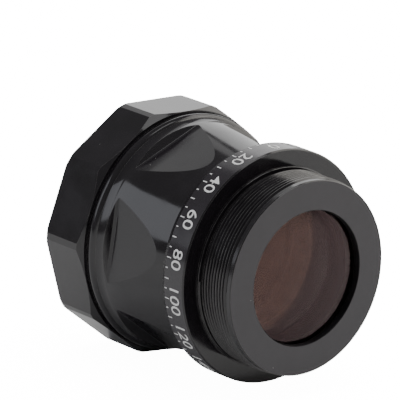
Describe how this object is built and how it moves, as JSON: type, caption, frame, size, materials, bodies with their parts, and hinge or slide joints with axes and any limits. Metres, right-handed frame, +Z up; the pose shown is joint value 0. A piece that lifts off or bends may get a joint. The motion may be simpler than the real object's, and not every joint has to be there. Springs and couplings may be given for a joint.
{
  "type": "telescope focal reducer",
  "caption": "Waisted lens barrel with a faceted grip ring and finger scallops, a threaded socket at the telescope end, and a male thread round a recessed lens at the camera end.",
  "frame": {"origin": "on the optical axis, in the plane of the telescope-side seating face", "axes": "+Y along the optical axis from the telescope side to the camera side, +Z up with one flat of the grip ring underneath, +X sideways"},
  "size_m": [0.0657, 0.0628, 0.063],
  "materials": {
    "black_anodised": "glossy black anodised",
    "matte_black": "matte black anodised",
    "coated_glass": "polished, anti-reflection coated",
    "black_rubber": "matte"
  },
  "bodies": {
    "root": {"main_barrel": "black_anodised", "front_adapter": "black_anodised", "front_lens": "coated_glass", "cemented_lens": "coated_glass", "front_spacer": "matte_black", "third_lens": "coated_glass", "front_preload_ring": "black_rubber", "front_retaining_ring": "matte_black", "lens_cell": "matte_black", "rear_lens": "coated_glass", "rear_spacer": "matte_black", "fourth_lens": "coated_glass", "cell_preload_ring": "black_rubber", "cell_retaining_ring": "matte_black", "cell_lock_ring": "matte_black", "light_baffle": "matte_black"}
  },
  "joints": []
}
